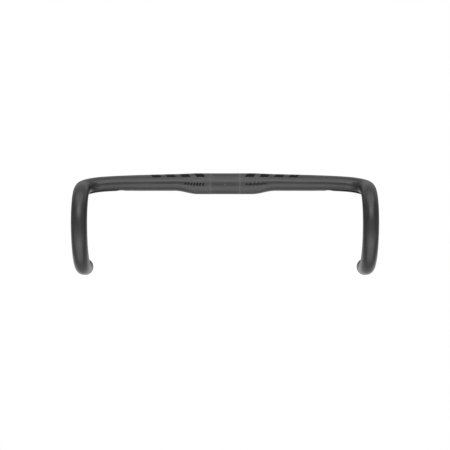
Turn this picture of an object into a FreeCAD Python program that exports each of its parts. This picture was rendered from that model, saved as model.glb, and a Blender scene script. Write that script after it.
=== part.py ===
"""Drop handlebar for a road bicycle, in millimetres.

The bar lies across the X axis and is symmetric about the plane X = 0. +Z is up, -Y is the bicycle's
front and +X is the rider's left. The origin is the centre of the round clamp barrel.

A moulded centre section and two moulded drops are bonded over elliptical joint sleeves. An expanding plug
closes each drop: a cap with a slotted expander behind it, and a screw that pulls a cone into the expander.
The left side is built, and the right side is its mirror image.
"""
import FreeCAD, Part
import Sketcher
import os
from math import cos, degrees, radians, sin, tan

from FreeCAD import Placement, Rotation, Vector

X_AXIS = Vector(1, 0, 0)
Y_AXIS = Vector(0, 1, 0)
Z_AXIS = Vector(0, 0, 1)

# Driving dimensions: alias, value, what it is.
DIMENSIONS = [
    ("clamp_radius", 15.9, "radius of the round barrel that the stem clamps"),
    ("clamp_half_length", 41.0, "half the barrel's length"),
    ("clamp_wall", 2.6, "wall of the barrel"),
    ("flats_start", 76.0, "X where a shoulder has become the oval top"),
    ("flats_rise", 1.95, "height of the top's centre line there"),
    ("flats_half_depth", 17.5, "half the top's depth, front to back, there"),
    ("flats_half_height", 12.8, "half the top's height there"),
    ("flats_wall", 2.0, "wall of the top"),
    ("backsweep", 3.0, "degrees that the top sweeps back"),
    ("joint_x", 132.0, "X of the bonded joint between centre section and drop"),
    ("joint_rise", 1.3, "height of the centre line there"),
    ("joint_half_depth", 17.2, "half depth at the joint"),
    ("joint_half_height", 12.15, "half height at the joint"),
    ("sleeve_half_length", 16.0, "half the length of the sleeve inside a joint"),
    ("sleeve_wall", 1.2, "wall of the joint sleeve"),
    ("socket_half_depth", 14.8, "half depth of the bore that takes the sleeve"),
    ("socket_half_height", 9.7, "half height of that bore"),
    ("glue_gap", 0.1, "gap round the sleeve for the adhesive"),
    ("sleeve_stop", 0.4, "step in the bore that the sleeve stops at"),
    ("bend_half_depth", 15.6, "half depth at the start of the bend"),
    ("bend_half_height", 11.5, "half height at the start of the bend"),
    ("bend_droop", 2.7, "degrees that the top falls into the bend"),
    ("bend_radius", 32.0, "radius of the bend from the top to the ramp"),
    ("ramp_angle", 13.0, "degrees that the ramp falls towards the front"),
    ("hook_x", 214.0, "X of the plane of the hook's centre line"),
    ("hook_reach", 70.0, "distance from the barrel's axis to the front of the hook's centre line"),
    ("hook_front_z", -58.0, "height of that foremost point"),
    ("upper_hook_radius", 48.0, "radius of the hook above its foremost point"),
    ("lower_hook_radius", 68.4, "radius of the hook below it"),
    ("end_slope", 1.3, "degrees that the drop's end still falls towards the back"),
    ("flare_length", 12.0, "length over which the end turns outwards"),
    ("outsweep", 4.5, "degrees that the end turns outwards"),
    ("end_length", 28.3, "length of the straight end"),
    ("grip_radius", 11.9, "radius of the round tube of the hook and the end"),
    ("grip_wall", 1.7, "wall of that tube"),
    ("groove_radius", 5.2, "radius of the cable groove's section"),
    ("groove_inward", 8.0, "groove's distance from the centre line, towards the inside of the bend"),
    ("groove_down", 11.5, "groove's distance below the centre line"),
    ("groove_run_in", 19.0, "length of the groove before the bend"),
    ("groove_run_out", 5.0, "length of the groove after the bend"),
    ("groove_wall", 1.5, "wall left under the groove"),
    ("mouth_radius", 9.0, "radius of the shallow mouth where the groove begins"),
    ("mouth_setback", 2.5, "distance of the mouth before the groove's start"),
    ("mouth_inward", 4.0, "mouth's distance from the centre line, towards the front"),
    ("mouth_down", 18.4, "mouth's distance below the centre line"),
    ("plug_gap", 0.05, "running gap between a plug's pieces and its bore"),
    ("flange_radius", 12.7, "radius of the plug's cap, a little more than the tube's"),
    ("flange_height", 3.4, "height of the cap's dome over the tube's end"),
    ("flange_edge", 1.6, "height of the cap's rim"),
    ("spigot_length", 4.0, "length of the cap's spigot inside the tube"),
    ("expander_length", 18.0, "length of the slotted expander"),
    ("expander_wall", 3.5, "wall of the expander"),
    ("slot_length", 13.0, "length of the expander's slots"),
    ("slot_width", 2.0, "width of the expander's slots"),
    ("cone_length", 9.5, "length of the cone"),
    ("cone_small_radius", 5.2, "radius of the cone at its screw end"),
    ("cone_large_radius", 8.9, "radius of the cone at its far end"),
    ("cone_overhang", 3.0, "length of the cone beyond the expander"),
    ("key_width", 1.7, "width of the cone's keys, which slide in the slots"),
    ("screw_radius", 2.0, "radius of the M4 screw"),
    ("screw_length", 30.0, "length of the screw under its head"),
    ("head_radius", 3.5, "radius of the screw's head"),
    ("head_height", 4.0, "height of the screw's head"),
    ("head_seat", -1.8, "height of the head's seat over the tube's end"),
    ("key_size", 3.0, "hexagon key across flats"),
    ("key_depth", 2.2, "depth of the hexagon socket"),
    ("recess_gap", 0.3, "gap round the screw's head in its recess"),
    ("lead_in", 0.6, "bevel at the spigot's end"),
    ("flange_bevel", 2.4, "width of the bevel round the cap"),
    ("flange_round", 0.9, "radius that softens that bevel's edges"),
    ("cone_gap", 0.08, "radial gap between the cone and the expander when tight"),
    ("key_reach", 9.4, "radius that the cone's keys reach"),
    ("key_setback", 1.0, "distance of the keys from the cone's screw end"),
    ("screw_bevel", 0.4, "bevels at the screw's tip and head"),
]
SHOULDER_STEPS = 6    # spans of the shoulder's skin
APPROACH_STEPS = 6    # spans of the drop's skin before the bend, about as long as those in the bend
BEND_STEPS = 7        # spans of the drop's skin in the bend
CROSSED_BARS = 2      # two bars that cross make the expander's four slots and the cone's four keys
MATCH = 1e-4          # how near an edge must be to a wanted place
STOP_OVERLAP = 1.0    # how far the narrower bore reaches into the socket
OVERCUT = 1.0         # how far a cutting solid reaches past the face it cuts
STOP_DEPTH = "(Sizes.socket_half_depth - Sizes.sleeve_stop)"
STOP_HEIGHT = "(Sizes.socket_half_height - Sizes.sleeve_stop)"

doc = FreeCAD.newDocument("drop_handlebar")
sheet = doc.addObject("Spreadsheet::Sheet", "Sizes")
for row, (alias, value, meaning) in enumerate(DIMENSIONS, start=1):
    sheet.set(f"A{row}", alias)
    sheet.set(f"B{row}", str(value))
    sheet.set(f"C{row}", meaning)
    sheet.setAlias(f"B{row}", alias)
doc.recompute()


class Sizes:
    """The sheet's values, read by name."""

    def __getattr__(self, alias):
        return float(sheet.get(alias))


size = Sizes()


# ---------------------------------------------------------------- helpers

def bind(obj, **expressions):
    """Bind properties of an object to expressions of the sheet's cells."""
    for name, expression in expressions.items():
        obj.setExpression(name, expression)


def cell(alias):
    """The expression for one cell."""
    return f"Sizes.{alias}"


def between(alias_a, alias_b, share):
    """The expression for a value part of the way from one cell to another."""
    return f"Sizes.{alias_a} + (Sizes.{alias_b} - Sizes.{alias_a}) * {share:.4f}"


def ease(share):
    """A smooth step from 0 to 1, level at both ends."""
    return share * share * (3 - 2 * share)


def standing(point, along, across):
    """The placement whose local Z runs along and whose local X runs across."""
    return Placement(point, Rotation(across, along.cross(across), along, "ZXY"))


def oval(name, place, half_depth, half_height):
    """An ellipse of the given half axes, the depth along its local X."""
    ring = doc.addObject("Part::Ellipse", name)
    bind(ring, MajorRadius=half_depth, MinorRadius=half_height)
    ring.Placement = place
    return ring


def skin(name, rings, ruled=False):
    """A solid through a row of ovals."""
    loft = doc.addObject("Part::Loft", name)
    loft.Sections = rings
    loft.Solid = True
    loft.Ruled = ruled
    return loft


def rod(name, place, radius, length):
    cylinder = doc.addObject("Part::Cylinder", name)
    bind(cylinder, Radius=radius, Height=length)
    cylinder.Placement = place
    return cylinder


def arc_rod(name, place, bend_radius, radius, angle):
    """A round rod bent about its local Z, from its local X on."""
    torus = doc.addObject("Part::Torus", name)
    bind(torus, Radius1=bend_radius, Radius2=radius, Angle3=angle)
    torus.Placement = place
    return torus


def ball(name, point, radius):
    sphere = doc.addObject("Part::Sphere", name)
    bind(sphere, Radius=radius)
    sphere.Placement = Placement(point, Rotation())
    return sphere


def joined(name, shapes):
    fuse = doc.addObject("Part::MultiFuse", name)
    fuse.Shapes = shapes
    return fuse


def without(name, base, tool):
    cut = doc.addObject("Part::Cut", name)
    cut.Base = base
    cut.Tool = tool
    return cut


def mirrored(name, source):
    """The right-hand twin of a left-hand piece."""
    twin = doc.addObject("Part::Mirroring", name)
    twin.Source = source
    twin.Normal = X_AXIS
    return twin


# ---------------------------------------------------------------- the line that the tube follows

class Line:
    """The centre line of the left half, from the barrel to the drop's end."""

    def __init__(self):
        sweep = radians(size.backsweep)
        self.shoulder = size.flats_start - size.clamp_half_length
        self.sweep_slope = tan(sweep)
        self.flats_slope = (size.joint_rise - size.flats_rise) / (size.joint_x - size.flats_start)

        # from the top, through the bend, to the ramp
        self.flat_along = Vector(cos(sweep), sin(sweep), -tan(radians(size.bend_droop))).normalize()
        ramp = radians(size.ramp_angle)
        self.ramp_along = Vector(0, -cos(ramp), -sin(ramp))
        self.hook_axis_y = size.upper_hook_radius - size.hook_reach
        self.ramp_end = Vector(size.hook_x, self.hook_axis_y, size.hook_front_z) \
            + size.upper_hook_radius * Vector(0, -sin(ramp), cos(ramp))
        joint = self.top(size.joint_x)
        corner_y = joint.y + (self.ramp_end.x - joint.x) * self.sweep_slope
        self.corner = self.ramp_end - (self.ramp_end.y - corner_y) / self.ramp_along.y * self.ramp_along
        self.bend_angle = self.flat_along.getAngle(self.ramp_along)
        tangent = size.bend_radius * tan(self.bend_angle / 2)
        self.bend_start = self.corner - tangent * self.flat_along
        self.bend_end = self.corner + tangent * self.ramp_along
        self.bend_down = self.flat_along.cross(self.ramp_along).normalize()
        self.bend_inward = self.bend_down.cross(self.flat_along)
        self.bend_centre = self.bend_start + size.bend_radius * self.bend_inward

        # from the hook to the end
        slope = radians(size.end_slope)
        self.lower_axis_y = size.lower_hook_radius - size.hook_reach
        self.flare_start = Vector(size.hook_x, self.lower_axis_y, size.hook_front_z) \
            + size.lower_hook_radius * Vector(0, -sin(slope), -cos(slope))
        self.flare_along = Vector(0, cos(slope), -sin(slope))
        out = radians(size.outsweep)
        self.flare_radius = size.flare_length / out
        self.end_along = cos(out) * self.flare_along + sin(out) * X_AXIS
        self.end_start = self.flare_start + self.flare_radius * (
            sin(out) * self.flare_along + (1 - cos(out)) * X_AXIS)
        self.end = self.end_start + size.end_length * self.end_along

    def top(self, x):
        """The centre of the top at x: level on the barrel, rising and sweeping back over the shoulder."""
        run = x - size.clamp_half_length
        share = min(run / self.shoulder, 1)
        past = max(x - size.flats_start, 0)
        back = self.sweep_slope * (self.shoulder * share * share / 2 + past)
        return Vector(x, back, size.flats_rise * ease(share) + self.flats_slope * past)

    def approach(self, x):
        """The centre and the direction along, from the joint to the bend, as the top begins to droop."""
        share = (x - size.joint_x) / (self.bend_start.x - size.joint_x)
        droop = self.bend_start.z - self.top(self.bend_start.x).z
        along = X_AXIS * (1 - share) + self.flat_along * share
        return self.top(x) + Vector(0, 0, droop * share ** 3), along.normalize()

    def bend(self, angle):
        """The centre, the direction along and the direction inward, at an angle round the bend."""
        inward = cos(angle) * self.bend_inward - sin(angle) * self.flat_along
        along = cos(angle) * self.flat_along + sin(angle) * self.bend_inward
        return self.bend_centre - size.bend_radius * inward, along, inward


line = Line()


def across_top(x):
    """The upright placement of an oval of the top at x, its depth towards the front."""
    return standing(line.top(x), X_AXIS, -Y_AXIS)


# ---------------------------------------------------------------- centre section and joint sleeves

def socket(name, x_from, x_to, inset):
    """A straight oval plug about a joint, as large as the socket less an inset."""
    ends = []
    for end, x in (("near", x_from), ("far", x_to)):
        ends.append(oval(f"{name}_{end}", across_top(x), f"Sizes.socket_half_depth - {inset}",
                         f"Sizes.socket_half_height - {inset}"))
    return skin(name, ends, ruled=True)


def half_top(name, wall_round, wall_oval, x_end, depth_end, height_end):
    """The shoulder and oval top of one half, from the barrel's end to x_end, drawn in by the given walls."""
    rings = []
    for step in range(SHOULDER_STEPS + 1):
        share = step / SHOULDER_STEPS
        x = size.clamp_half_length + share * line.shoulder
        thinned = f" - ({wall_round} + ({wall_oval} - {wall_round}) * {share:.4f})"
        rings.append(oval(f"{name}_shoulder_{step}", across_top(x),
                          between("clamp_radius", "flats_half_depth", ease(share)) + thinned,
                          between("clamp_radius", "flats_half_height", ease(share)) + thinned))
    end = oval(f"{name}_end", across_top(x_end), depth_end, height_end)
    flat = skin(f"{name}_flat", [rings[-1], end], ruled=True)
    return joined(name, [skin(f"{name}_shoulder", rings), flat])


def centre_section():
    """The round barrel with an oval top each side, hollow, with a socket in each end."""
    barrel_place = Placement(Vector(-size.clamp_half_length, 0, 0), Rotation(Z_AXIS, X_AXIS))
    barrel_length = "2 * Sizes.clamp_half_length"
    barrel = rod("barrel", barrel_place, cell("clamp_radius"), barrel_length)
    barrel_bore = rod("barrel_bore", barrel_place, "Sizes.clamp_radius - Sizes.clamp_wall", barrel_length)
    socket_start = size.joint_x - size.sleeve_half_length
    left = half_top("left_top", "0", "0", size.joint_x, cell("joint_half_depth"), cell("joint_half_height"))
    left_bore = half_top("left_top_bore", cell("clamp_wall"), cell("flats_wall"),
                         socket_start + STOP_OVERLAP, STOP_DEPTH, STOP_HEIGHT)
    left_socket = socket("left_top_socket", socket_start, size.joint_x + OVERCUT, "0")
    outside = joined("centre_outside", [barrel, left, mirrored("right_top", left)])
    inside = joined("centre_inside", [
        barrel_bore, left_bore, mirrored("right_top_bore", left_bore),
        left_socket, mirrored("right_top_socket", left_socket)])
    return without("centre_section", outside, inside)


def joint_sleeve():
    """The oval tube that both halves of a joint are bonded to."""
    x_from = size.joint_x - size.sleeve_half_length
    x_to = size.joint_x + size.sleeve_half_length
    outside = socket("sleeve_outside", x_from, x_to, "Sizes.glue_gap")
    inside = socket("sleeve_inside", x_from - OVERCUT, x_to + OVERCUT,
                    "(Sizes.glue_gap + Sizes.sleeve_wall)")
    return without("left_joint_sleeve", outside, inside)


# ---------------------------------------------------------------- drops

def drop_skin(name, x_from, depth_from, height_from, wall):
    """The skin from x_from on the top, through the bend, to the ramp's end, turning from oval to round."""
    rings = []
    bend_depth, bend_height = f"(Sizes.bend_half_depth - {wall})", f"(Sizes.bend_half_height - {wall})"
    for step in range(APPROACH_STEPS):
        share = step / APPROACH_STEPS
        point, along = line.approach(x_from + share * (line.bend_start.x - x_from))
        depth_share, height_share = ease(share), share * (2 - share)
        rings.append(oval(
            f"{name}_top_{step}", standing(point, along, along.cross(Z_AXIS)),
            f"{depth_from} * {1 - depth_share:.4f} + {bend_depth} * {depth_share:.4f}",
            f"{height_from} * {1 - height_share:.4f} + {bend_height} * {height_share:.4f}"))
    for step in range(BEND_STEPS + 1):
        share = step / BEND_STEPS
        point, along, _ = line.bend(share * line.bend_angle)
        rings.append(oval(f"{name}_bend_{step}", standing(point, along, along.cross(Z_AXIS)),
                          between("bend_half_depth", "grip_radius", ease(share)) + f" - {wall}",
                          between("bend_half_height", "grip_radius", ease(share)) + f" - {wall}"))
    rings.append(oval(f"{name}_ramp_end", standing(line.ramp_end, along, along.cross(Z_AXIS)),
                      f"Sizes.grip_radius - {wall}", f"Sizes.grip_radius - {wall}"))
    return skin(name, rings)


def hook_rods(name, wall, past_end):
    """The round rods of the hook and the drop's end, one after the other."""
    radius = f"Sizes.grip_radius - {wall}"
    ramp = radians(size.ramp_angle)
    up_back = Vector(0, -sin(ramp), cos(ramp))
    upper_centre = Vector(size.hook_x, line.hook_axis_y, size.hook_front_z)
    lower_centre = Vector(size.hook_x, line.lower_axis_y, size.hook_front_z)
    flare_centre = line.flare_start + line.flare_radius * X_AXIS
    return [
        arc_rod(f"{name}_upper", standing(upper_centre, X_AXIS, up_back),
                cell("upper_hook_radius"), radius, "90 - Sizes.ramp_angle"),
        arc_rod(f"{name}_lower", standing(lower_centre, X_AXIS, -Y_AXIS),
                cell("lower_hook_radius"), radius, "90 - Sizes.end_slope"),
        arc_rod(f"{name}_flare", standing(flare_centre, (-X_AXIS).cross(line.flare_along), -X_AXIS),
                "Sizes.flare_length * 180 / (pi * Sizes.outsweep)", radius, cell("outsweep")),
        rod(f"{name}_end", standing(line.end_start, line.end_along, Z_AXIS), radius,
            f"Sizes.end_length + {past_end}"),
    ]


def groove_rods(name, margin):
    """The bent rod along the underside of the bend that leaves the cable groove, and its shallow mouth."""
    def offset(point, inward):
        return point + size.groove_inward * inward + size.groove_down * line.bend_down

    radius = f"Sizes.groove_radius + {margin}"
    _, along_out, inward_out = line.bend(line.bend_angle)
    first = line.bend_start - size.groove_run_in * line.flat_along
    mouth = first - size.mouth_setback * line.flat_along \
        + size.mouth_inward * line.bend_inward + size.mouth_down * line.bend_down
    start = offset(first, line.bend_inward)
    turn = offset(line.bend_end, inward_out)
    finish = turn + size.groove_run_out * along_out
    centre = line.bend_centre + size.groove_down * line.bend_down
    bent = arc_rod(f"{name}_bent", standing(centre, line.bend_down, -line.bend_inward),
                   "Sizes.bend_radius - Sizes.groove_inward", radius, f"{degrees(line.bend_angle):.6f}")
    return joined(name, [
        ball(f"{name}_mouth", mouth, f"Sizes.mouth_radius + {margin}"),
        ball(f"{name}_start", start, radius),
        rod(f"{name}_in", standing(start, line.flat_along, line.bend_inward), radius, cell("groove_run_in")),
        bent,
        rod(f"{name}_out", standing(turn, along_out, inward_out), radius, cell("groove_run_out")),
        ball(f"{name}_finish", finish, radius),
    ])


def drop():
    """One drop: oval at the joint, round from the ramp on, hollow, with a cable groove under the bend."""
    socket_end = size.joint_x + size.sleeve_half_length
    outside = joined("drop_outside", [
        drop_skin("drop_skin", size.joint_x, cell("joint_half_depth"), cell("joint_half_height"), "0"),
        *hook_rods("hook", "0", "0")])
    grooved = without("drop_grooved", outside, groove_rods("groove", "0"))
    inside = joined("drop_inside", [
        socket("drop_socket", size.joint_x - OVERCUT, socket_end, "0"),
        drop_skin("drop_bore_skin", socket_end - STOP_OVERLAP, STOP_DEPTH, STOP_HEIGHT, cell("grip_wall")),
        *hook_rods("hook_bore", cell("grip_wall"), f"{OVERCUT}")])
    spared = without("drop_inside_spared", inside, groove_rods("groove_clearance", cell("groove_wall")))
    return without("left_drop", grooved, spared)


# ---------------------------------------------------------------- end plug, about its own Z axis

def plane_of(body, role):
    """A body's own origin plane."""
    return next(f for f in body.Origin.OriginFeatures if f.Role == role)


def outline(body, name, points, role="XZ_Plane", height="0"):
    """A closed sketch on an origin plane or above it. Its corners are pairs of expressions, across and up."""
    sketch = body.newObject("Sketcher::SketchObject", name)
    sketch.AttachmentSupport = [(plane_of(body, role), "")]
    sketch.MapMode = "FlatFace"
    sketch.setExpression("AttachmentOffset.Base.z", height)
    corners = [Vector(sheet.evalExpression(across), sheet.evalExpression(up), 0) for across, up in points]
    following = corners[1:] + corners[:1]
    for corner, next_corner in zip(corners, following):
        sketch.addGeometry(Part.LineSegment(corner, next_corner), False)
    for index, corner in enumerate(corners):
        sketch.addConstraint(Sketcher.Constraint("Coincident", index, 2, (index + 1) % len(corners), 1))
        across, up = points[index]
        pins = (("DistanceX", "across", corner.x, across), ("DistanceY", "up", corner.y, up))
        for kind, mark, at, expression in pins:
            pin = sketch.addConstraint(Sketcher.Constraint(kind, -1, 1, index, 1, at))
            sketch.renameConstraint(pin, f"{mark}_{index}")
            sketch.setExpression(f"Constraints.{mark}_{index}", expression)
    return sketch


def turned(body, name, points):
    """The first solid of a body: an outline turned about the body's Z axis."""
    profile = outline(body, f"{name}_profile", points)
    solid = body.newObject("PartDesign::Revolution", name)
    solid.Profile = profile
    solid.ReferenceAxis = (profile, ["V_Axis"])
    solid.Angle = 360
    body.Tip = solid
    return solid


def crossed(body, kind, name, half_width, bottom, top):
    """Two bars or slots that cross at the body's Z axis, added or cut, each right through."""
    left, right = f"-({half_width})", half_width
    corners = [(left, bottom), (right, bottom), (right, top), (left, top)]
    bar = body.newObject(f"PartDesign::{kind}", name)
    bar.Profile = outline(body, f"{name}_outline", corners)
    bar.Midplane = True
    pattern = body.newObject("PartDesign::PolarPattern", f"{name}_pattern")
    pattern.Originals = [bar]
    pattern.Axis = (plane_of(body, "Z_Axis"), [""])
    pattern.Angle = 90
    pattern.Occurrences = CROSSED_BARS
    body.Tip = pattern
    return bar


def new_body(name):
    return doc.addObject("PartDesign::Body", name)


SPIGOT_RADIUS = "(Sizes.grip_radius - Sizes.grip_wall - Sizes.plug_gap)"
EXPANDER_BORE = f"({SPIGOT_RADIUS} - Sizes.expander_wall)"
EXPANDER_END = "(-Sizes.spigot_length - Sizes.expander_length)"
CONE_END = f"({EXPANDER_END} - Sizes.cone_overhang)"
CONE_TOP = f"({CONE_END} + Sizes.cone_length)"
CONE_SLOPE = "((Sizes.cone_large_radius - Sizes.cone_small_radius) / Sizes.cone_length)"
SCREW_HOLE = "(Sizes.screw_radius + 2 * Sizes.plug_gap)"


def plug_cap():
    """The cap: a rounded flange over the tube's end, a spigot inside it and a recess for the screw's head."""
    body = new_body("left_plug_cap")
    recess = "Sizes.head_radius + Sizes.recess_gap"
    flange = turned(body, "cap_turned", [
        (SCREW_HOLE, "-Sizes.spigot_length"),
        (f"{SPIGOT_RADIUS} - Sizes.lead_in", "-Sizes.spigot_length"),
        (SPIGOT_RADIUS, "-Sizes.spigot_length + Sizes.lead_in"),
        (SPIGOT_RADIUS, cell("plug_gap")),
        (cell("flange_radius"), cell("plug_gap")),
        (cell("flange_radius"), cell("flange_edge")),
        ("Sizes.flange_radius - Sizes.flange_bevel", cell("flange_height")),
        (recess, cell("flange_height")),
        (recess, cell("head_seat")),
        (SCREW_HOLE, cell("head_seat")),
    ])
    doc.recompute()
    rounded = body.newObject("PartDesign::Fillet", "cap_rounded")
    rounded.Base = (flange, rim_edges(flange))
    bind(rounded, Radius=cell("flange_round"))
    body.Tip = rounded
    return body


def rim_edges(flange):
    """The names of the two outer edges of the flange's bevel."""
    rims = ((size.flange_radius, size.flange_edge),
            (size.flange_radius - size.flange_bevel, size.flange_height))
    names = []
    for number, edge in enumerate(flange.Shape.Edges, start=1):
        circle = edge.Curve
        if isinstance(circle, Part.Circle) and any(
                abs(circle.Radius - radius) < MATCH and abs(circle.Center.z - height) < MATCH
                for radius, height in rims):
            names.append(f"Edge{number}")
    return names


def plug_expander():
    """The sleeve behind the cap, slotted from its far end, whose bore opens to meet the cone."""
    body = new_body("left_plug_expander")
    mouth = f"(Sizes.cone_small_radius + ({CONE_TOP} - {EXPANDER_END}) * {CONE_SLOPE} + Sizes.cone_gap)"
    meeting = f"({EXPANDER_END} + ({mouth} - {EXPANDER_BORE}) / {CONE_SLOPE})"
    turned(body, "expander_turned", [
        (EXPANDER_BORE, "-Sizes.spigot_length"),
        (EXPANDER_BORE, meeting),
        (mouth, EXPANDER_END),
        (SPIGOT_RADIUS, EXPANDER_END),
        (SPIGOT_RADIUS, "-Sizes.spigot_length"),
    ])
    crossed(body, "Pocket", "expander_slots", "Sizes.slot_width / 2",
            f"{EXPANDER_END} - {OVERCUT}", f"{EXPANDER_END} + Sizes.slot_length").Type = "ThroughAll"
    return body


def plug_cone():
    """The cone that the screw pulls into the expander, with four keys that stop it turning."""
    body = new_body("left_plug_cone")
    turned(body, "cone_turned", [
        ("Sizes.screw_radius + Sizes.plug_gap", CONE_TOP),
        (cell("cone_small_radius"), CONE_TOP),
        (cell("cone_large_radius"), CONE_END),
        ("Sizes.screw_radius + Sizes.plug_gap", CONE_END),
    ])
    keys = crossed(body, "Pad", "cone_keys", "Sizes.key_width / 2",
                   CONE_END, f"{CONE_TOP} - Sizes.key_setback")
    bind(keys, Length="2 * Sizes.key_reach")
    bore = body.newObject("PartDesign::Pocket", "cone_bore")
    bore.Profile = round_outline(body, "cone_bore_outline", "Sizes.screw_radius + Sizes.plug_gap")
    bore.Type = "ThroughAll"
    bore.Midplane = True
    body.Tip = bore
    return body


def round_outline(body, name, radius):
    """A sketched circle about the body's Z axis."""
    sketch = body.newObject("Sketcher::SketchObject", name)
    sketch.AttachmentSupport = [(plane_of(body, "XY_Plane"), "")]
    sketch.MapMode = "FlatFace"
    at_start = sheet.evalExpression(radius)
    sketch.addGeometry(Part.Circle(Vector(), Z_AXIS, at_start), False)
    sketch.addConstraint(Sketcher.Constraint("Coincident", 0, 3, -1, 1))
    sketch.renameConstraint(sketch.addConstraint(Sketcher.Constraint("Radius", 0, at_start)), "radius")
    sketch.setExpression("Constraints.radius", radius)
    return sketch


def plug_screw():
    """The socket-head screw, its thread plain."""
    body = new_body("left_plug_screw")
    under_head = "(Sizes.head_seat + Sizes.plug_gap)"
    head_top = f"({under_head} + Sizes.head_height)"
    tip = f"({under_head} - Sizes.screw_length)"
    turned(body, "screw_turned", [
        ("0", tip),
        ("Sizes.screw_radius - Sizes.screw_bevel", tip),
        (cell("screw_radius"), f"{tip} + Sizes.screw_bevel"),
        (cell("screw_radius"), under_head),
        (cell("head_radius"), under_head),
        (cell("head_radius"), f"{head_top} - Sizes.screw_bevel"),
        ("Sizes.head_radius - Sizes.screw_bevel", head_top),
        ("0", head_top),
    ])
    corner_reach = "Sizes.key_size / 2 / cos(30)"
    socket_corners = [(f"{corner_reach} * cos({angle})", f"{corner_reach} * sin({angle})")
                      for angle in range(0, 360, 60)]
    key_socket = body.newObject("PartDesign::Pocket", "screw_socket")
    key_socket.Profile = outline(body, "screw_socket_outline", socket_corners, "XY_Plane", head_top)
    bind(key_socket, Length=cell("key_depth"))
    body.Tip = key_socket
    return body


# ---------------------------------------------------------------- the document's nodes

at_drop_end = standing(line.end, line.end_along, Z_AXIS)
plug_pieces = [plug_cap(), plug_expander(), plug_cone(), plug_screw()]
for piece in plug_pieces:
    piece.Placement = at_drop_end

left_pieces = [drop(), joint_sleeve(), *plug_pieces]
nodes = [centre_section(), *left_pieces]
for piece in left_pieces:
    nodes.append(mirrored(piece.Name.replace("left_", "right_"), piece))
for node in nodes:
    node.Label = node.Name
doc.recompute()

failed = [obj.Name for obj in doc.Objects if {"Invalid", "Error"} & set(obj.State)]
if failed:
    raise SystemExit(f"these objects failed: {failed}")
os.makedirs("parts", exist_ok=True)
for node in nodes:
    shape = node.Shape
    if shape.isNull() or not shape.isValid() or len(shape.Solids) != 1:
        raise SystemExit(f"{node.Label} is not one valid solid")
    shape.exportStep(f"parts/{node.Label}.step")
    print(f"{node.Label}: {shape.Volume / 1000:.2f} cm3")
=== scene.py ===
"""Looks of the drop handlebar: smooth carbon shells with cable grooves, printed films, a gritty clamp zone
and detailed end plugs, in a white studio. Lengths in this file are millimetres until scaled by MM.

+X is the rider's left, -Y the bicycle's front and +Z up. The left drop is built and the right one mirrored.
"""
from math import ceil, cos, pi, radians, sin, tan

import bmesh
import bpy
import numpy as np
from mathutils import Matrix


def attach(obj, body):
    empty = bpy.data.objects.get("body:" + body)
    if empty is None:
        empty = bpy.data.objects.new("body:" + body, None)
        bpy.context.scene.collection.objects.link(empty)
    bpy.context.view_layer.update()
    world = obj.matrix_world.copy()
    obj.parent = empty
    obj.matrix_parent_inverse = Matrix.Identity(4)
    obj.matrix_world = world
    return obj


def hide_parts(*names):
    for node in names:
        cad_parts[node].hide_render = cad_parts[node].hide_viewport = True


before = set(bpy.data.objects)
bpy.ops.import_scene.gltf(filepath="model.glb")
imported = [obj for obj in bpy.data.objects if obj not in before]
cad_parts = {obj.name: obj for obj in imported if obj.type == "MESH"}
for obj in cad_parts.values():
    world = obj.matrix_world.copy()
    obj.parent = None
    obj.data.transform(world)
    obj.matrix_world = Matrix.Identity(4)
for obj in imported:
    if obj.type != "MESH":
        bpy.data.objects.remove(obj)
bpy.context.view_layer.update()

MM = 0.001
X_AXIS, _, Z_AXIS = np.eye(3)
SIDES = {"left": 1, "right": -1}

# ---------------------------------------------------------------- sizes of the bar, as in its design

CLAMP_RADIUS, CLAMP_HALF_LENGTH, CLAMP_WALL = 15.9, 41.0, 2.6
FLATS_START, FLATS_RISE, FLATS_DEPTH, FLATS_HEIGHT, FLATS_WALL = 76.0, 1.95, 17.5, 12.8, 2.0
BACKSWEEP = radians(3.0)
JOINT_X, JOINT_RISE, JOINT_DEPTH, JOINT_HEIGHT = 132.0, 1.3, 17.2, 12.15
SLEEVE_REACH, SOCKET_DEPTH, SOCKET_HEIGHT = 16.0, 14.8, 9.7
BEND_DEPTH, BEND_HEIGHT, BEND_DROOP, BEND_RADIUS = 15.6, 11.5, radians(2.7), 32.0
RAMP = radians(13.0)
HOOK_X, HOOK_REACH, HOOK_FRONT_Z = 214.0, 70.0, -58.0
UPPER_HOOK_RADIUS, LOWER_HOOK_RADIUS = 48.0, 68.4
END_SLOPE, FLARE_LENGTH, OUTSWEEP, END_LENGTH = radians(1.3), 12.0, radians(4.5), 28.3
GRIP_RADIUS, GRIP_WALL = 11.9, 1.7
GROOVE_RADIUS, GROOVE_INWARD, GROOVE_DOWN, GROOVE_RUN_IN, GROOVE_RUN_OUT = 5.2, 8.0, 11.5, 19.0, 5.0
GROOVE_WALL = 1.5
GROOVED_FORWARD, GROOVED_BELOW = 6.0, 2.0   # how far past the ramp's end a ring may still have the groove
MOUTH_RADIUS, MOUTH_SETBACK, MOUTH_INWARD, MOUTH_DOWN = 9.0, 2.5, 4.0, 18.4
GROOVE_LIP = 1.6         # how far the groove's lips are softened
MOUTH_BLEND = 2.0        # how far the mouth and the groove flow into each other

ROUND_STEPS = 112        # points round a shell
GROOVE_TURN, CROWDING = radians(-50), 0.62         # a drop's points crowd towards this turn, the groove's
TOP_STEP, BEND_STEP, HOOK_STEP = 1.4, 0.8, 1.6     # spacing of a shell's rings
END_BEVEL, JOINT_BEVEL = 0.35, 0.04      # bevels at a drop's open end, and at the joints
HALVINGS = 24            # steps in the search for the carved skin
SHARP_ANGLE = 35         # an edge that turns by more degrees than this is sharp
GRIT_START, GRIT_END = 15.0, 64.0        # the gritty bands each side of the clamp's middle


def unit(vector):
    """A direction of length 1."""
    return np.asarray(vector, float) / np.linalg.norm(vector)


def ease(share):
    """A smooth step from 0 to 1, level at both ends."""
    return share * share * (3 - 2 * share)


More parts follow.
